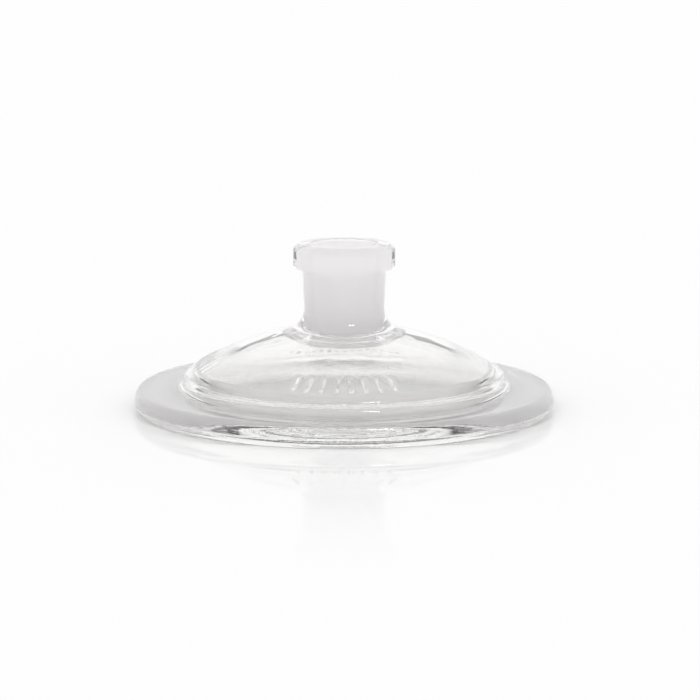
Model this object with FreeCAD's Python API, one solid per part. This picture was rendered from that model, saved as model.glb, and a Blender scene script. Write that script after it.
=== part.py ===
"""Lid of a small desiccator, nominal width 100, with a ground socket 24/29 on its crown.

The lid is glass all through, and is made of two workpieces fused together:

  pressed_lid          a shallow dome with a thick flat flange, pressed in a mould. The flange's underside
                       is ground flat, and seals on the flange of the desiccator's base.
  ground_joint_socket  a short tapered tube with a thick bead round its mouth. Its bore is a cone of 1:10,
                       ground to fit a plug or a stopcock. Its flared foot is fused to the dome.

Millimetres. +Z is up, along the axis, and the origin is on the axis in the plane of the ground face.
Everything is turned about Z, so the glass is given by the outline of its wall in the (radius, height)
plane: a chain of straight lines with a rounding wherever two of them meet. Each surface of the dome is
such a rounding too, a very large one. The weld is the plane where the socket ends and the lid begins.
"""

import FreeCAD
import Part
import math
import os

# Flange
RIM_R = 76.5  # widest circle of the rim
RIM_WIDEST_Z = 3.15
FLANGE_TOP_Z = 7.85
RIM_ROUNDING_DEPTH = 2.8  # how far in the rounding above the widest circle reaches
GROUND_FACE_OUTER_R = 75.2
MOUTH_R = 57.0  # inside of the lid at the ground face
MOUTH_EDGE_ROUNDING = 1.5

# Dome, outside: a spherical cap, and a steep foot under its shoulder
DOME_R = 103.5
DOME_CENTRE_Z = -73.0
CAP_INNER_EDGE_R = 24.0  # radius where the cap gives way to the neck
CAP_OUTER_EDGE_R = 55.0  # radius where it gives way to the shoulder
FOOT_R = 58.7  # where the foot meets the flange's top
FOOT_FILLET = 3.2
SHOULDER_ROUNDING = 3.0
FOOT_LEAN = 4.0  # degrees that the foot leans, so that the lid leaves its mould

# Dome, inside: a low collar of glass round the bore, a cap about the dome's centre, then a haunch that is
# a little steeper, then a sloping wall
COLLAR_R = 16.8  # edge between the collar's underside and its side
COLLAR_Z = 22.3
COLLAR_SLOPE = 3.0  # degrees, of its underside
COLLAR_SIDE_SLOPE = 25.0  # degrees
COLLAR_ROUNDING = 0.6
COLLAR_FILLET = 3.0
BORE_END_ROUNDING = 2.0
WALL = 4.2  # thickness between the two caps
INNER_CAP_INNER_EDGE_R = 24.0
INNER_CAP_OUTER_EDGE_R = 38.5
HAUNCH_R = 51.0
HAUNCH_Z = 11.96  # height of the haunch at HAUNCH_R
HAUNCH_SLOPE = 32.5  # degrees
HAUNCH_ROUNDING = 80.0
INNER_SHOULDER_ROUNDING = 6.0
INNER_WALL_LEAN = 24.0  # degrees that the wall above the mouth leans

# Ground socket 24/29: 24 mm across at its large end, ground over 29 mm, taper 1:10 on the diameter
SOCKET_LARGE_R = 12.0
SOCKET_GROUND_LENGTH = 29.0
SOCKET_TOP_Z = 60.1
CONE_ANGLE = math.degrees(math.atan(0.05))
MOUTH_LEAD_IN = 0.9  # rounding between the top of the bead and the bore

# Outside of the socket
TUBE_R = 15.3  # under the bead
NECK_FILLET = 8.5
BEAD_R = 18.5
BEAD_LOWER_Z = 51.6  # where the bead's side and its sloping underside meet
BEAD_UNDERSIDE_SLOPE = 24.0  # degrees
BEAD_TOP_ROUNDING = 2.7
BEAD_LOWER_ROUNDING = 1.3
BEAD_ROOT_FILLET = 0.8

WELD_Z = SOCKET_TOP_Z - SOCKET_GROUND_LENGTH


def vec(r, z):
    """A point of the outline, in the XZ plane."""
    return FreeCAD.Vector(r, 0, z)


def line(r, z, degrees):
    """A line through (r, z), at that angle up from level."""
    turn = math.radians(degrees)
    return vec(r, z), vec(math.cos(turn), math.sin(turn))


def tangent(radius, at_r):
    """The line that touches the upper side of a circle about the dome's centre at radius at_r."""
    turn = math.asin(at_r / radius)
    return line(at_r, DOME_CENTRE_Z + radius * math.cos(turn), -math.degrees(turn))


def meet(first, second):
    """Where two lines cross."""
    (p, u), (q, v) = first, second
    across = u.x * v.z - u.z * v.x
    along = ((q.x - p.x) * v.z - (q.z - p.z) * v.x) / across
    return p + u * along


def rounded(chain, start, end):
    """Edges of the path along a chain of lines from start to end.

    Each link of the chain is a line and the radius of the rounding where it meets the next line.
    """
    lines = [link[0] for link in chain]
    corners = [start] + [meet(a, b) for a, b in zip(lines, lines[1:])] + [end]
    edges = []
    last = start
    for before, corner, after, (_, radius) in zip(corners, corners[1:], corners[2:], chain):
        back = (before - corner).normalize()
        ahead = (after - corner).normalize()
        half = back.getAngle(ahead) / 2
        arc_start = corner + back * (radius / math.tan(half))
        arc_end = corner + ahead * (radius / math.tan(half))
        arc_middle = corner + (back + ahead).normalize() * (radius / math.sin(half) - radius)
        edges.append(Part.makeLine(last, arc_start))
        edges.append(Part.Arc(arc_start, arc_middle, arc_end).toShape())
        last = arc_end
    edges.append(Part.makeLine(last, end))
    return edges


def rim_edges():
    """The rim from the ground face up to the flat top: a slight lower arc, then a quarter of an ellipse."""
    widest = vec(RIM_R, RIM_WIDEST_Z)
    drop = RIM_R - GROUND_FACE_OUTER_R
    radius = (RIM_WIDEST_Z**2 + drop**2) / (2 * drop)
    turn = math.asin(RIM_WIDEST_Z / radius) / 2
    middle = widest + vec(radius * (math.cos(turn) - 1), -radius * math.sin(turn))
    lower = Part.Arc(vec(GROUND_FACE_OUTER_R, 0), middle, widest)
    centre = vec(RIM_R - RIM_ROUNDING_DEPTH, RIM_WIDEST_Z)
    top = vec(RIM_R - RIM_ROUNDING_DEPTH, FLANGE_TOP_Z)
    ellipse = Part.Ellipse(top, widest, centre)
    upper = Part.ArcOfEllipse(ellipse, 0, math.pi / 2)
    return [lower.toShape(), upper.toShape()]


def wall_outline():
    """The closed outline of the whole lid's wall, as a face."""
    flange_top = line(0, FLANGE_TOP_Z, 0)
    foot = line(FOOT_R, FLANGE_TOP_Z, 90 + FOOT_LEAN)
    cap_below = tangent(DOME_R, CAP_OUTER_EDGE_R)
    cap_above = tangent(DOME_R, CAP_INNER_EDGE_R)
    tube = line(TUBE_R, BEAD_LOWER_Z, 90 - CONE_ANGLE)
    bead_underside = line(BEAD_R, BEAD_LOWER_Z, BEAD_UNDERSIDE_SLOPE)
    bead_side = line(BEAD_R, BEAD_LOWER_Z, 90)
    bead_top = line(0, SOCKET_TOP_Z, 0)
    bore = line(SOCKET_LARGE_R, SOCKET_TOP_Z, 90 - CONE_ANGLE)
    collar_underside = line(COLLAR_R, COLLAR_Z, -COLLAR_SLOPE)
    collar_side = line(COLLAR_R, COLLAR_Z, COLLAR_SIDE_SLOPE)
    inner_cap_above = tangent(DOME_R - WALL, INNER_CAP_INNER_EDGE_R)
    inner_cap_below = tangent(DOME_R - WALL, INNER_CAP_OUTER_EDGE_R)
    haunch = line(HAUNCH_R, HAUNCH_Z, -HAUNCH_SLOPE)
    inner_wall = line(MOUTH_R, 0, 90 + INNER_WALL_LEAN)
    ground_face = line(0, 0, 0)
    chain = [
        (flange_top, FOOT_FILLET),
        (foot, SHOULDER_ROUNDING),
        (cap_below, DOME_R),
        (cap_above, NECK_FILLET),
        (tube, BEAD_ROOT_FILLET),
        (bead_underside, BEAD_LOWER_ROUNDING),
        (bead_side, BEAD_TOP_ROUNDING),
        (bead_top, MOUTH_LEAD_IN),
        (bore, BORE_END_ROUNDING),
        (collar_underside, COLLAR_ROUNDING),
        (collar_side, COLLAR_FILLET),
        (inner_cap_above, DOME_R - WALL),
        (inner_cap_below, HAUNCH_ROUNDING),
        (haunch, INNER_SHOULDER_ROUNDING),
        (inner_wall, MOUTH_EDGE_ROUNDING),
        (ground_face, None),
    ]
    start = vec(RIM_R - RIM_ROUNDING_DEPTH, FLANGE_TOP_Z)
    end = vec(GROUND_FACE_OUTER_R, 0)
    edges = rounded(chain, start, end) + rim_edges()
    return Part.Face(Part.Wire(Part.__sortEdges__(edges)))


def band(low, high):
    """A rectangle of the outline's plane between two heights, wider than the lid."""
    corners = [vec(0, low), vec(2 * RIM_R, low), vec(2 * RIM_R, high), vec(0, high), vec(0, low)]
    return Part.Face(Part.makePolygon(corners))


def turned(outline):
    """The solid swept by the outline round the axis."""
    ring = outline.Faces[0].revolve(FreeCAD.Vector(0, 0, 0), FreeCAD.Vector(0, 0, 1), 360)
    return ring.Solids[0] if ring.Volume > 0 else ring.Solids[0].reversed()


def pressed_lid(outline):
    """Flange and dome, up to the weld."""
    return turned(outline.common(band(-1, WELD_Z)))


def ground_joint_socket(outline):
    """Flared foot, tube, ground bore and bead, above the weld."""
    return turned(outline.common(band(WELD_Z, SOCKET_TOP_Z + 1)))


def main():
    os.makedirs("parts", exist_ok=True)
    outline = wall_outline()
    parts = {
        "pressed_lid": pressed_lid(outline),
        "ground_joint_socket": ground_joint_socket(outline),
    }
    for name, solid in parts.items():
        solid.exportStep(f"parts/{name}.step")
        box = solid.optimalBoundingBox()
        size = f"width {box.XLength:.2f}, z {box.ZMin:.2f} to {box.ZMax:.2f}"
        print(f"{name}: {solid.Volume / 1000:.2f} ml, {size}")


main()
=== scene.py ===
"""Looks of the desiccator lid: two pieces of glass, fused at the foot of the socket, on a white floor.

Metres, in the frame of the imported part: +Z up along the axis, z = 0 in the plane of the ground face.
Both pieces are turned about the axis from one outline, which is a chain of straight lines with a
rounding wherever two of them meet. The outline is cut at the weld into the pressed lid and the socket.
"""

import math

import bpy
import numpy as np
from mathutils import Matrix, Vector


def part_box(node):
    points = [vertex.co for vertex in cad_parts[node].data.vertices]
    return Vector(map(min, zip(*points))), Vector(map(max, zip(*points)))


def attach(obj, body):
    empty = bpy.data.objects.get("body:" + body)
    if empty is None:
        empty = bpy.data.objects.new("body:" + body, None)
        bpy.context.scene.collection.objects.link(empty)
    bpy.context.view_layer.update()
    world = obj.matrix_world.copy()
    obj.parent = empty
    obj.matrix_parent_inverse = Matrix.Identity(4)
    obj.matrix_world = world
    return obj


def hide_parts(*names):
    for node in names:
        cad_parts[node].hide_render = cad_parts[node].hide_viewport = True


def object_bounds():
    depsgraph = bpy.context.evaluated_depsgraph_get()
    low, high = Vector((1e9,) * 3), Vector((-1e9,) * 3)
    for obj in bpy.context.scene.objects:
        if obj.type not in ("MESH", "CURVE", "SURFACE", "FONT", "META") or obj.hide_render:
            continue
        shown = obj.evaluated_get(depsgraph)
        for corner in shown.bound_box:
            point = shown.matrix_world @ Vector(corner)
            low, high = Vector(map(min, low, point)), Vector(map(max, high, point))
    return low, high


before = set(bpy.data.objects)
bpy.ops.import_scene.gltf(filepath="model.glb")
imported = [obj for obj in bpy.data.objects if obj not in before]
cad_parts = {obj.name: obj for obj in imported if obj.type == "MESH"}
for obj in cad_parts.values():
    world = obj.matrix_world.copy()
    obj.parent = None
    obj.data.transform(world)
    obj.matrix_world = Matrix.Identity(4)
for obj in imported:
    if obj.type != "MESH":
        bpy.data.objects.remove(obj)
cad_bounds = [list(corner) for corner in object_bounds()]

MM = 0.001

# Sizes from the frame
RIM_R = cad_bounds[1][0]
SOCKET_TOP_Z = cad_bounds[1][2]
WELD_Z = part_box("ground_joint_socket")[0].z
BEAD_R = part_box("ground_joint_socket")[1].x

# Flange
RIM_WIDEST_Z = 3.15 * MM
FLANGE_TOP_Z = 7.85 * MM
RIM_ROUNDING_DEPTH = 2.8 * MM
GROUND_FACE_OUTER_R = RIM_R - 1.3 * MM
MOUTH_R = 57.0 * MM
MOUTH_EDGE_ROUNDING = 1.5 * MM

# Dome, outside: a spherical cap, and a steep foot under its shoulder
DOME_R = 103.5 * MM
DOME_CENTRE_Z = -73.0 * MM
CAP_INNER_EDGE_R = 24.0 * MM
CAP_OUTER_EDGE_R = 55.0 * MM
FOOT_R = 58.7 * MM
FOOT_FILLET = 3.2 * MM
FOOT_LEAN = 4.0
SHOULDER_ROUNDING = 3.0 * MM

# Dome, inside: a low collar of glass round the bore, a cap about the dome's centre, then a haunch that is
# a little steeper, then a sloping wall. Slopes and leans are in degrees.
COLLAR_R = 16.8 * MM
COLLAR_Z = 22.3 * MM
COLLAR_SLOPE = 3.0
COLLAR_SIDE_SLOPE = 25.0
COLLAR_ROUNDING = 0.6 * MM
COLLAR_FILLET = 3.0 * MM
BORE_END_ROUNDING = 2.0 * MM
WALL = 4.2 * MM
INNER_CAP_INNER_EDGE_R = 24.0 * MM
INNER_CAP_OUTER_EDGE_R = 38.5 * MM
HAUNCH_R = 51.0 * MM
HAUNCH_Z = 11.96 * MM
HAUNCH_SLOPE = 32.5
HAUNCH_ROUNDING = 80.0 * MM
INNER_SHOULDER_ROUNDING = 6.0 * MM
INNER_WALL_LEAN = 24.0

# Ground socket 24/29, with a taper of 1:10 on the diameter. It looks matt down to GROUND_BORE_END_Z,
# which is below the weld.
SOCKET_LARGE_R = 12.0 * MM
CONE_ANGLE = math.degrees(math.atan(0.05))
MOUTH_LEAD_IN = 0.9 * MM
GROUND_BORE_END_Z = 25.5 * MM

# Outside of the socket
TUBE_R = 15.3 * MM
NECK_FILLET = 8.5 * MM
BEAD_LOWER_Z = SOCKET_TOP_Z - 8.5 * MM
BEAD_UNDERSIDE_SLOPE = 24.0
BEAD_TOP_ROUNDING = 2.7 * MM
BEAD_LOWER_ROUNDING = 1.3 * MM
BEAD_ROOT_FILLET = 0.8 * MM

# Raised marks on the shoulder, plain bars in place of lettering: where the middle of each row stands,
# its radius, how many marks, their pitch along the row, and half their width and length
FRONT, LEFT, BACK = -90.0, 180.0, 90.0
MARK_ROWS = [
    (FRONT, 50.7 * MM, 8, 5.0 * MM, 0.9 * MM, 3.6 * MM),
    (LEFT, 50.7 * MM, 5, 4.5 * MM, 0.9 * MM, 3.9 * MM),
    (BACK, 52.0 * MM, 15, 3.1 * MM, 0.7 * MM, 1.1 * MM),
]
MARK_HEIGHT = 0.35 * MM
MARK_EDGE = 0.5 * MM
MARKED_DEPTH = 1.5 * MM  # how far below the dome's sphere the outside still counts as marked

# Unevenness of the pressed glass: shallow waves all over it
WAVE_COUNT = 40
WAVE_HEIGHT = 0.0008 * MM
WAVE_LENGTHS = (5 * MM, 25 * MM)
WAVE_FADE = 4.0 * MM
WAVE_SEED = 3

# Fineness of the meshes. Turns are in degrees, and finer near the raised marks.
ARC_STEP = math.radians(3)
LONGEST_ARC_STEP = 0.95 * MM
LONGEST_STRAIGHT_STEP = 3.0 * MM
FINE_TURN = 0.65
COARSE_TURN = 2.0
RIM_STEPS = 24
SHARP_ANGLE = math.radians(35)

# Surfaces, as places in each piece's list of materials
CLEAR, GROUND, SEAM, BORE = 0, 1, 2, 3
TOUCHING = 0.0001 * MM  # how near to a plane a point lies in it
BORE_MARGIN = 0.1 * MM


# ---------------------------------------------------------------- outline

def line(r, z, degrees):
    """A line through (r, z), at that angle up from level."""
    turn = math.radians(degrees)
    return np.array([r, z]), np.array([math.cos(turn), math.sin(turn)])


def tangent(radius, at_r):
    """The line that touches the dome's sphere of that radius at radius at_r from the axis."""
    turn = math.asin(at_r / radius)
    return line(at_r, DOME_CENTRE_Z + radius * math.cos(turn), -math.degrees(turn))


def meet(first, second):
    """Where two lines cross."""
    (p, u), (q, v) = first, second
    across = u[0] * v[1] - u[1] * v[0]
    return p + u * ((q[0] - p[0]) * v[1] - (q[1] - p[1]) * v[0]) / across


def straight(start, end):
    """Points from start up to but not including end."""
    count = max(1, math.ceil(np.linalg.norm(end - start) / LONGEST_STRAIGHT_STEP))
    return [start + (end - start) * i / count for i in range(count)]


def arc(start, end, centre):
    """Points on the shorter arc from start up to but not including end."""
    first = math.atan2(*(start - centre)[::-1])
    sweep = math.atan2(*(end - centre)[::-1]) - first
    sweep = (sweep + math.pi) % (2 * math.pi) - math.pi
    radius = np.linalg.norm(start - centre)
    count = math.ceil(abs(sweep) * max(1 / ARC_STEP, radius / LONGEST_ARC_STEP))
    turns = [first + sweep * i / count for i in range(count)]
    return [centre + radius * np.array([math.cos(t), math.sin(t)]) for t in turns]


def rounded(chain, start, end):
    """Points of the path along a chain of lines, each with the radius of its rounding into the next."""
    lines = [link[0] for link in chain]
    corners = [start] + [meet(a, b) for a, b in zip(lines, lines[1:])] + [end]
    points = []
    last = start
    for before, corner, after, (_, radius) in zip(corners, corners[1:], corners[2:], chain):
        back = (before - corner) / np.linalg.norm(before - corner)
        ahead = (after - corner) / np.linalg.norm(after - corner)
        half = math.acos(back @ ahead) / 2
        arc_start = corner + back * radius / math.tan(half)
        arc_end = corner + ahead * radius / math.tan(half)
        bisector = (back + ahead) / np.linalg.norm(back + ahead)
        points += straight(last, arc_start)
        points += arc(arc_start, arc_end, corner + bisector * radius / math.sin(half))
        last = arc_end
    return points + straight(last, end)


def rim_points():
    """The rim from the ground face up to the flat top: a slight lower arc, then a quarter of an ellipse."""
    widest = np.array([RIM_R, RIM_WIDEST_Z])
    drop = RIM_R - GROUND_FACE_OUTER_R
    radius = (RIM_WIDEST_Z**2 + drop**2) / (2 * drop)
    points = arc(np.array([GROUND_FACE_OUTER_R, 0]), widest, widest - np.array([radius, 0]))
    tall = FLANGE_TOP_Z - RIM_WIDEST_Z
    for turn in (math.pi / 2 * i / RIM_STEPS for i in range(RIM_STEPS)):
        r = RIM_R - RIM_ROUNDING_DEPTH * (1 - math.cos(turn))
        points.append(np.array([r, RIM_WIDEST_Z + tall * math.sin(turn)]))
    return points


def wall_outline():
    """The closed outline of the whole lid's wall, anticlockwise from the outer edge of the ground face."""
    chain = [
        (line(0, FLANGE_TOP_Z, 0), FOOT_FILLET),
        (line(FOOT_R, FLANGE_TOP_Z, 90 + FOOT_LEAN), SHOULDER_ROUNDING),
        (tangent(DOME_R, CAP_OUTER_EDGE_R), DOME_R),
        (tangent(DOME_R, CAP_INNER_EDGE_R), NECK_FILLET),
        (line(TUBE_R, BEAD_LOWER_Z, 90 - CONE_ANGLE), BEAD_ROOT_FILLET),
        (line(BEAD_R, BEAD_LOWER_Z, BEAD_UNDERSIDE_SLOPE), BEAD_LOWER_ROUNDING),
        (line(BEAD_R, BEAD_LOWER_Z, 90), BEAD_TOP_ROUNDING),
        (line(0, SOCKET_TOP_Z, 0), MOUTH_LEAD_IN),
        (line(SOCKET_LARGE_R, SOCKET_TOP_Z, 90 - CONE_ANGLE), BORE_END_ROUNDING),
        (line(COLLAR_R, COLLAR_Z, -COLLAR_SLOPE), COLLAR_ROUNDING),
        (line(COLLAR_R, COLLAR_Z, COLLAR_SIDE_SLOPE), COLLAR_FILLET),
        (tangent(DOME_R - WALL, INNER_CAP_INNER_EDGE_R), DOME_R - WALL),
        (tangent(DOME_R - WALL, INNER_CAP_OUTER_EDGE_R), HAUNCH_ROUNDING),
        (line(HAUNCH_R, HAUNCH_Z, -HAUNCH_SLOPE), INNER_SHOULDER_ROUNDING),
        (line(MOUTH_R, 0, 90 + INNER_WALL_LEAN), MOUTH_EDGE_ROUNDING),
        (line(0, 0, 0), None),
    ]
    start = np.array([RIM_R - RIM_ROUNDING_DEPTH, FLANGE_TOP_Z])
    end = np.array([GROUND_FACE_OUTER_R, 0])
    return np.array(rim_points() + rounded(chain, start, end))


def cut(outline, below):
    """The part of the closed outline below the weld, or above it."""
    side = -1 if below else 1
    kept = []
    for p, q in zip(outline, np.roll(outline, -1, axis=0)):
        if side * (p[1] - WELD_Z) > 0:
            kept.append(p)
        if (p[1] - WELD_Z) * (q[1] - WELD_Z) < 0:
            kept.append(p + (q - p) * (WELD_Z - p[1]) / (q[1] - p[1]))
    return np.array(kept)


# ---------------------------------------------------------------- unevenness

def smooth_step(value):
    """From 0 to 1 as the value does, with soft ends."""
    t = np.clip(value, 0, 1)
    return t * t * (3 - 2 * t)


def marks(angle, r, z):
    """Height of the raised marks over the outside of the dome."""
    height = np.zeros_like(angle)
    for middle, row_r, count, pitch, half_width, half_length in MARK_ROWS:
        turn = (np.degrees(angle) - middle + 180) % 360 - 180
        along = np.radians(turn) * row_r / pitch + (count - 1) / 2
        aside = (along - np.clip(np.round(along), 0, count - 1)) * pitch
        beyond = np.maximum(abs(r - row_r) - (half_length - half_width), 0)
        inside = half_width - np.hypot(aside, beyond)
        height += MARK_HEIGHT * smooth_step(inside / MARK_EDGE)
    dome_z = DOME_CENTRE_Z + np.sqrt(DOME_R**2 - r**2)
    return height * (z > dome_z - MARKED_DEPTH) * (r > CAP_INNER_EDGE_R)


def waves(angle, r, z, length):
    """Shallow waves along the outline and about the axis, that end at the ground face and at the weld."""
    random = np.random.default_rng(WAVE_SEED)
    height = np.zeros_like(angle)
    for _ in range(WAVE_COUNT):
        wave = random.uniform(*WAVE_LENGTHS)
        about = round(random.uniform(-1, 1) * 2 * math.pi * DOME_R / 2 / wave)
        shift = random.uniform(0, 2 * math.pi)
        height += WAVE_HEIGHT * np.sin(length / wave * 2 * math.pi + about * angle + shift)
    return height * smooth_step(z / WAVE_FADE) * smooth_step((WELD_Z - z) / WAVE_FADE)


def lid_unevenness(angle, r, z, length):
    """How far the surface of the pressed lid stands out from the turned shape."""
    return marks(angle, r, z) + waves(angle, r, z, length)


def no_unevenness(angle, r, z, length):
    """The tube of the socket is drawn, and stays as it is turned."""
    return np.zeros_like(angle)


def turn_angles(middles, half_widths):
    """Angles about the axis, closer together over the raised marks."""
    angles = []
    angle = -180.0
    while angle < 180:
        angles.append(angle)
        rows = zip(middles, half_widths)
        gaps = [abs((angle - middle + 180) % 360 - 180) - half for middle, half in rows]
        angle += FINE_TURN if min(gaps, default=360) < COARSE_TURN else COARSE_TURN
    return np.radians(angles)


# ---------------------------------------------------------------- meshes

def turned(name, outline, surface_of, angles, unevenness):
    """A closed piece turned about Z from a closed outline; surface_of(r, z) names each band's surface."""
    turns = len(angles)
    rows = len(outline)
    ahead = np.roll(outline, -1, axis=0) - outline
    lengths = np.linalg.norm(ahead, axis=1)
    tangents = ahead / lengths[:, None]
    tangents = tangents + np.roll(tangents, 1, axis=0)
    tangents /= np.linalg.norm(tangents, axis=1)[:, None]
    so_far = np.concatenate([[0], np.cumsum(lengths)[:-1]])
    angle, r = np.meshgrid(angles, outline[:, 0], indexing="ij")
    z = np.repeat(outline[:, 1][None, :], turns, axis=0)
    raised = unevenness(angle, r, z, so_far[None, :])
    r = r + raised * tangents[:, 1]
    z = z - raised * tangents[:, 0]
    vertices = np.stack([np.cos(angle) * r, np.sin(angle) * r, z], axis=-1).reshape(-1, 3)
    turn, row = np.meshgrid(np.arange(turns), np.arange(rows), indexing="ij")
    next_turn = (turn + 1) % turns
    next_row = (row + 1) % rows
    near = (turn * rows + row, next_turn * rows + row)
    far = (next_turn * rows + next_row, turn * rows + next_row)
    faces = np.stack(near + far, axis=-1).reshape(-1, 4)
    mesh = bpy.data.meshes.new(name)
    mesh.from_pydata(vertices.tolist(), [], faces.tolist())
    middles = (outline + np.roll(outline, -1, axis=0)) / 2
    surfaces = [surface_of(r, z) for r, z in middles]
    mesh.polygons.foreach_set("material_index", surfaces * turns)
    mesh.shade_smooth()
    mesh.set_sharp_from_angle(angle=SHARP_ANGLE)
    mesh.validate()
    piece = bpy.data.objects.new(name, mesh)
    bpy.context.collection.objects.link(piece)
    return piece


def lid_surface(r, z):
    """Which surface of the pressed lid a point of its outline is on."""
    if z > WELD_Z - TOUCHING:
        return SEAM
    if z < TOUCHING:
        return GROUND
    return BORE if r < SOCKET_LARGE_R and z > GROUND_BORE_END_Z else CLEAR


def socket_surface(r, z):
    """Which surface of the socket a point of its outline is on."""
    if z < WELD_Z + TOUCHING:
        return SEAM
    return BORE if r < SOCKET_LARGE_R + BORE_MARGIN else CLEAR


# ---------------------------------------------------------------- materials

# Glass. TINT colours the light at each surface that it goes through.
GLASS_IOR = 1.473
TINT = (0.998, 0.995, 0.990)
NOISE_DETAIL = 2.0

# Grain of the mould on the shoulder: it comes in over the first two radii and goes out over the last two
SHOULDER_IN = (36 * MM, 44 * MM)
SHOULDER_OUT = (58 * MM, 64 * MM)
SHOULDER_GRAINS_PER_METRE = 1700
SHOULDER_GRAIN = 0.022 * MM

# Rings in the rim and in the tube: how high, how many a metre, and how often they change round the axis
RIM_IN = (72 * MM, 74.5 * MM)
RIM_RINGS = 0.006 * MM
RIM_RINGS_PER_METRE = 1800
RIM_RINGS_ABOUT = 5
TUBE_RINGS = 0.02 * MM
TUBE_RINGS_PER_METRE = 900
TUBE_RINGS_ABOUT = 0.6

# Ground glass: its colour, its grain, and how much of the light is scattered evenly
GROUND_WHITE = (0.965, 0.95, 0.958)
GROUND_ROUGHNESS = 0.5
GROUND_GRAINS_PER_METRE = 5000
GROUND_GRAIN = 0.01 * MM
BORE_WHITENESS = 0.95
FACE_WHITENESS = 0.7


def new_material(name):
    """An empty node material, with its output node."""
    material = bpy.data.materials.new(name)
    material.use_nodes = True
    tree = material.node_tree
    tree.nodes.clear()
    return material, tree, tree.nodes.new("ShaderNodeOutputMaterial")


def calculate(tree, operation, *values):
    """A Math node over sockets and numbers."""
    node = tree.nodes.new("ShaderNodeMath")
    node.operation = operation
    for slot, value in zip(node.inputs, values):
        if isinstance(value, (int, float)):
            slot.default_value = value
        else:
            tree.links.new(value, slot)
    return node.outputs[0]


def ramp(tree, value, low, high, out_low=0.0, out_high=1.0):
    """A soft ramp from out_low to out_high as the value goes from low to high."""
    node = tree.nodes.new("ShaderNodeMapRange")
    node.interpolation_type = "SMOOTHSTEP"
    node.inputs["From Min"].default_value = low
    node.inputs["From Max"].default_value = high
    node.inputs["To Min"].default_value = out_low
    node.inputs["To Max"].default_value = out_high
    tree.links.new(value, node.inputs["Value"])
    return node.outputs["Result"]


def split(tree, vector):
    """The three coordinates of a vector socket."""
    node = tree.nodes.new("ShaderNodeSeparateXYZ")
    tree.links.new(vector, node.inputs[0])
    return node.outputs[0], node.outputs[1], node.outputs[2]


def place(tree):
    """Sockets with the point's radius from the axis, its height and its turn about the axis."""
    x, y, z = split(tree, tree.nodes.new("ShaderNodeTexCoord").outputs["Object"])
    x_squared = calculate(tree, "MULTIPLY", x, x)
    y_squared = calculate(tree, "MULTIPLY", y, y)
    radius = calculate(tree, "SQRT", calculate(tree, "ADD", x_squared, y_squared))
    return radius, z, calculate(tree, "ARCTAN2", y, x)


def grain(tree, per_metre):
    """A fine even grain, from 0 to 1."""
    noise = tree.nodes.new("ShaderNodeTexNoise")
    noise.inputs["Scale"].default_value = per_metre
    noise.inputs["Detail"].default_value = NOISE_DETAIL
    tree.links.new(tree.nodes.new("ShaderNodeTexCoord").outputs["Object"], noise.inputs["Vector"])
    return noise.outputs["Fac"]


def rings(tree, per_metre, about):
    """Streaks that run round the axis, from 0 to 1."""
    radius, z, turn = place(tree)
    join = tree.nodes.new("ShaderNodeCombineXYZ")
    for slot, value, factor in zip(join.inputs, (radius, z, turn), (per_metre, per_metre, about)):
        tree.links.new(calculate(tree, "MULTIPLY", value, factor), slot)
    noise = tree.nodes.new("ShaderNodeTexNoise")
    noise.inputs["Scale"].default_value = 1
    noise.inputs["Detail"].default_value = NOISE_DETAIL
    tree.links.new(join.outputs[0], noise.inputs["Vector"])
    return noise.outputs["Fac"]


def bump(tree, height, distance, normal=None):
    """The surface normal over a height from 0 to 1, which stands for that distance."""
    node = tree.nodes.new("ShaderNodeBump")
    node.inputs["Distance"].default_value = distance
    tree.links.new(height, node.inputs["Height"])
    if normal:
        tree.links.new(normal, node.inputs["Normal"])
    return node.outputs["Normal"]


def glass_shader(tree, roughness, normal):
    """Borosilicate glass."""
    shader = tree.nodes.new("ShaderNodeBsdfPrincipled")
    shader.inputs["Base Color"].default_value = (*TINT, 1)
    shader.inputs["Roughness"].default_value = roughness
    shader.inputs["IOR"].default_value = GLASS_IOR
    shader.inputs["Transmission Weight"].default_value = 1
    tree.links.new(normal, shader.inputs["Normal"])
    return shader.outputs[0]


def pressed_glass():
    """Clear glass with the grain of the mould on the shoulder and fine rings in the fire-polished rim."""
    material, tree, output = new_material("pressed_glass")
    radius, _, _ = place(tree)
    coming_in = ramp(tree, radius, *SHOULDER_IN)
    going_out = ramp(tree, radius, SHOULDER_OUT[1], SHOULDER_OUT[0])
    shoulder = calculate(tree, "MULTIPLY", coming_in, going_out)
    rim = ramp(tree, radius, *RIM_IN)
    grains = calculate(tree, "MULTIPLY", grain(tree, SHOULDER_GRAINS_PER_METRE), shoulder)
    normal = bump(tree, grains, SHOULDER_GRAIN)
    streaks = calculate(tree, "MULTIPLY", rings(tree, RIM_RINGS_PER_METRE, RIM_RINGS_ABOUT), rim)
    normal = bump(tree, streaks, RIM_RINGS, normal)
    tree.links.new(glass_shader(tree, 0.0, normal), output.inputs[0])
    return material


def joint_glass():
    """Clear drawn glass with faint rings from turning it in the flame."""
    material, tree, output = new_material("joint_glass")
    normal = bump(tree, rings(tree, TUBE_RINGS_PER_METRE, TUBE_RINGS_ABOUT), TUBE_RINGS)
    tree.links.new(glass_shader(tree, 0.0, normal), output.inputs[0])
    return material


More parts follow.
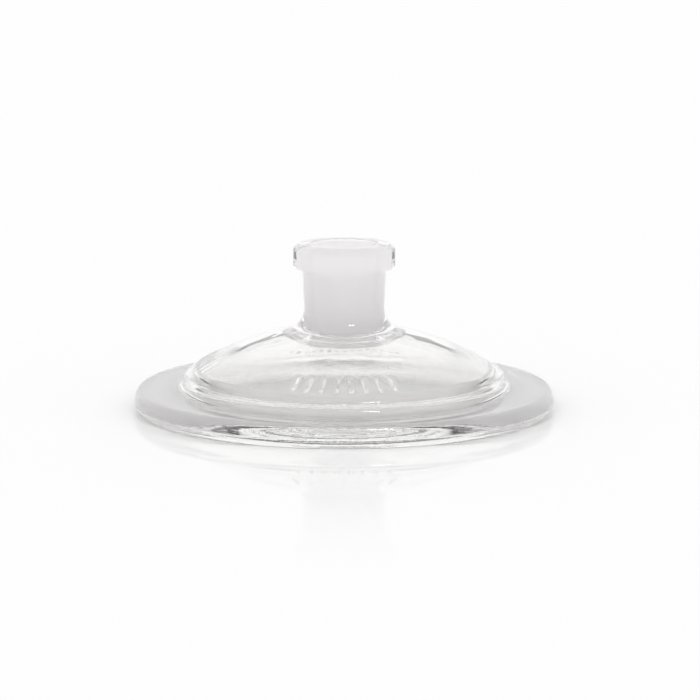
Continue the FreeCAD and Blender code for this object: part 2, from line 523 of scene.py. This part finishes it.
def ground_glass(name, whiteness):
    """Matt ground glass: part of the light is scattered evenly, the rest goes through a rough surface."""
    material, tree, output = new_material(name)
    normal = bump(tree, grain(tree, GROUND_GRAINS_PER_METRE), GROUND_GRAIN)
    white = tree.nodes.new("ShaderNodeBsdfDiffuse")
    through = tree.nodes.new("ShaderNodeBsdfTranslucent")
    for shader in (white, through):
        shader.inputs["Color"].default_value = (*GROUND_WHITE, 1)
        tree.links.new(normal, shader.inputs["Normal"])
    scatter = tree.nodes.new("ShaderNodeMixShader")
    tree.links.new(white.outputs[0], scatter.inputs[1])
    tree.links.new(through.outputs[0], scatter.inputs[2])
    both = tree.nodes.new("ShaderNodeMixShader")
    both.inputs[0].default_value = whiteness
    tree.links.new(glass_shader(tree, GROUND_ROUGHNESS, normal), both.inputs[1])
    tree.links.new(scatter.outputs[0], both.inputs[2])
    tree.links.new(both.outputs[0], output.inputs[0])
    return material


def fused_seam():
    """The plane of the weld, where glass goes over into glass with no surface between."""
    material, tree, output = new_material("fused_seam")
    shader = tree.nodes.new("ShaderNodeBsdfTransparent")
    tree.links.new(shader.outputs[0], output.inputs[0])
    return material


# ---------------------------------------------------------------- the two pieces

outline = wall_outline()
mark_spans = [math.degrees((count + 1) / 2 * pitch / row_r) for _, row_r, count, pitch, _, _ in MARK_ROWS]
lid_angles = turn_angles([row[0] for row in MARK_ROWS], mark_spans)
socket_angles = turn_angles([], [])
lid = turned("pressed_lid_glass", cut(outline, True), lid_surface, lid_angles, lid_unevenness)
socket = turned(
    "ground_joint_socket_glass", cut(outline, False), socket_surface, socket_angles, no_unevenness
)

face = ground_glass("ground_flange_face", FACE_WHITENESS)
bore = ground_glass("ground_bore", BORE_WHITENESS)
seam = fused_seam()
for piece, clear in ((lid, pressed_glass()), (socket, joint_glass())):
    for material in (clear, face, seam, bore):
        piece.data.materials.append(material)

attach(lid, "root")
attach(socket, "root")
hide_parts("pressed_lid")
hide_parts("ground_joint_socket")


# ---------------------------------------------------------------- floor

FLOOR_SIZE = 14.0
FLOOR_GAP = 0.1 * MM
FLOOR_WHITE = 0.54
FLOOR_ROUGHNESS = 0.03
FLOOR_IOR = 1.4
GLOSS_FADE = (0.08, 0.26)  # radii over which the gloss gives way to a matt white


def make_floor():
    """A white sheet, glossy near the object, and clear from below so that the underside can be seen."""
    half = FLOOR_SIZE / 2
    mesh = bpy.data.meshes.new("floor")
    corners = [(x * half, y * half, -FLOOR_GAP) for x, y in ((-1, -1), (1, -1), (1, 1), (-1, 1))]
    mesh.from_pydata(corners, [], [(0, 1, 2, 3)])
    floor = bpy.data.objects.new("floor", mesh)
    bpy.context.collection.objects.link(floor)
    material, tree, output = new_material("white_acrylic")
    radius, _, _ = place(tree)
    gloss = tree.nodes.new("ShaderNodeBsdfPrincipled")
    gloss.inputs["Base Color"].default_value = (FLOOR_WHITE, FLOOR_WHITE, FLOOR_WHITE, 1)
    gloss.inputs["Roughness"].default_value = FLOOR_ROUGHNESS
    gloss.inputs["IOR"].default_value = FLOOR_IOR
    matt = tree.nodes.new("ShaderNodeBsdfDiffuse")
    matt.inputs["Color"].default_value = (FLOOR_WHITE, FLOOR_WHITE, FLOOR_WHITE, 1)
    fade = tree.nodes.new("ShaderNodeMixShader")
    tree.links.new(ramp(tree, radius, *GLOSS_FADE), fade.inputs[0])
    tree.links.new(gloss.outputs[0], fade.inputs[1])
    tree.links.new(matt.outputs[0], fade.inputs[2])
    clear = tree.nodes.new("ShaderNodeBsdfTransparent")
    sided = tree.nodes.new("ShaderNodeMixShader")
    tree.links.new(tree.nodes.new("ShaderNodeNewGeometry").outputs["Backfacing"], sided.inputs[0])
    tree.links.new(fade.outputs[0], sided.inputs[1])
    tree.links.new(clear.outputs[0], sided.inputs[2])
    tree.links.new(sided.outputs[0], output.inputs[0])
    mesh.materials.append(material)


make_floor()


# ---------------------------------------------------------------- flags

FLAG_ASIDE = 0.20
FLAG_FRONT, FLAG_BACK = -0.03, 0.16
FLAG_HEIGHT = 0.05
FLAG_BLACK = 0.01


def make_flag(name, x):
    """A low black card beside the object, that draws dark lines in the edges of the glass."""
    foot = [(x, FLAG_FRONT, 0), (x, FLAG_BACK, 0)]
    corners = foot + [(x, FLAG_BACK, FLAG_HEIGHT), (x, FLAG_FRONT, FLAG_HEIGHT)]
    mesh = bpy.data.meshes.new(name)
    mesh.from_pydata(corners, [], [(0, 1, 2, 3)])
    flag = bpy.data.objects.new(name, mesh)
    bpy.context.collection.objects.link(flag)
    material, tree, output = new_material(name)
    black = tree.nodes.new("ShaderNodeBsdfDiffuse")
    black.inputs["Color"].default_value = (FLAG_BLACK, FLAG_BLACK, FLAG_BLACK, 1)
    tree.links.new(black.outputs[0], output.inputs[0])
    mesh.materials.append(material)
    flag.visible_camera = False
    flag.visible_diffuse = False
    flag.visible_glossy = False
    flag.visible_shadow = False


make_flag("flag_left", -FLAG_ASIDE)
make_flag("flag_right", FLAG_ASIDE)


# ---------------------------------------------------------------- light

# Brightness of the studio for scattered light and for reflections. Angles below are in degrees.
ROOM_LIGHT = 1.83
REFLECTED_LIGHT = 1.0

# A dark gap behind the object: its heights, half its width, and how softly it ends
GAP_FROM, GAP_TO = 9.0, 14.0
GAP_HALF_WIDTH = 12.0
GAP_DARKNESS = 0.97
GAP_SOFT_HEIGHT = 0.3
GAP_SOFT_WIDTH = 3.0

# A small lamp: where it stands, half its size, and how softly it ends
LAMP_TURN, LAMP_UP = -65.0, 50.0
LAMP_HALF_WIDTH, LAMP_HALF_HEIGHT = 8.0, 2.0
LAMP_SOFT_WIDTH, LAMP_SOFT_HEIGHT = 2.0, 1.0
LAMP_LIGHT = 25.0


def choose(tree, switch, otherwise, strength):
    """The strength where the switch is on, and the other one where it is off."""
    mix = tree.nodes.new("ShaderNodeMix")
    mix.data_type = "FLOAT"
    mix.clamp_factor = True
    tree.links.new(switch, mix.inputs[0])
    tree.links.new(otherwise, mix.inputs[2])
    if isinstance(strength, float):
        mix.inputs[3].default_value = strength
    else:
        tree.links.new(strength, mix.inputs[3])
    return mix.outputs[0]


def make_world():
    """A white studio whose brightness differs by the kind of ray, which no real light does.

    Rays through glass meet a narrow dark gap behind the object, reflected ones a small lamp, and scattered
    ones an even light that is brighter than the background.
    """
    world = bpy.data.worlds.new("studio")
    world.use_nodes = True
    world.cycles.sampling_method = "NONE"
    bpy.context.scene.world = world
    tree = world.node_tree
    tree.nodes.clear()
    output = tree.nodes.new("ShaderNodeOutputWorld")
    x, y, z = split(tree, tree.nodes.new("ShaderNodeTexCoord").outputs["Generated"])
    up = calculate(tree, "DEGREES", calculate(tree, "ARCSINE", z))
    turn = calculate(tree, "DEGREES", calculate(tree, "ARCTAN2", y, x))
    behind = calculate(tree, "ABSOLUTE", calculate(tree, "SUBTRACT", turn, BACK))
    over_low_end = ramp(tree, up, GAP_FROM, GAP_FROM + GAP_SOFT_HEIGHT)
    under_high_end = ramp(tree, up, GAP_TO, GAP_TO - GAP_SOFT_HEIGHT)
    between_sides = ramp(tree, behind, GAP_HALF_WIDTH + GAP_SOFT_WIDTH, GAP_HALF_WIDTH)
    gap = calculate(tree, "MULTIPLY", over_low_end, under_high_end)
    gap = calculate(tree, "MULTIPLY", gap, between_sides)
    seen_through_glass = calculate(tree, "SUBTRACT", 1.0, calculate(tree, "MULTIPLY", gap, GAP_DARKNESS))
    aside = calculate(tree, "ABSOLUTE", calculate(tree, "SUBTRACT", turn, LAMP_TURN))
    above = calculate(tree, "ABSOLUTE", calculate(tree, "SUBTRACT", up, LAMP_UP))
    across = ramp(tree, aside, LAMP_HALF_WIDTH, LAMP_HALF_WIDTH + LAMP_SOFT_WIDTH, LAMP_LIGHT, 0.0)
    along = ramp(tree, above, LAMP_HALF_HEIGHT, LAMP_HALF_HEIGHT + LAMP_SOFT_HEIGHT, 1.0, 0.0)
    lamp = calculate(tree, "MULTIPLY", across, along)
    reflected = calculate(tree, "ADD", lamp, REFLECTED_LIGHT)
    path = tree.nodes.new("ShaderNodeLightPath").outputs
    strength = choose(tree, path["Is Transmission Ray"], reflected, seen_through_glass)
    strength = choose(tree, path["Diffuse Depth"], strength, ROOM_LIGHT)
    strength = choose(tree, path["Is Camera Ray"], strength, 1.0)
    background = tree.nodes.new("ShaderNodeBackground")
    background.inputs["Color"].default_value = (1, 1, 1, 1)
    tree.links.new(strength, background.inputs["Strength"])
    tree.links.new(background.outputs[0], output.inputs[0])


make_world()


# ---------------------------------------------------------------- camera

CAMERA_DISTANCE = 0.950
CAMERA_HEIGHT = 0.185
CAMERA_ASIDE = 2.1 * MM
CAMERA_PITCH = math.radians(9.805)
LENS = 136.08

camera_data = bpy.data.cameras.new("camera")
camera_data.lens = LENS
camera_data.sensor_width = 36
camera_data.clip_end = 50
camera = bpy.data.objects.new("camera", camera_data)
camera.location = (CAMERA_ASIDE, -CAMERA_DISTANCE, CAMERA_HEIGHT)
camera.rotation_euler = (math.pi / 2 - CAMERA_PITCH, 0, 0)
bpy.context.collection.objects.link(camera)
scene = bpy.context.scene
scene.camera = camera
scene.view_settings.view_transform = "Standard"
scene.cycles.max_bounces = 32
scene.cycles.transmission_bounces = 32
scene.cycles.glossy_bounces = 16
scene.cycles.transparent_max_bounces = 16
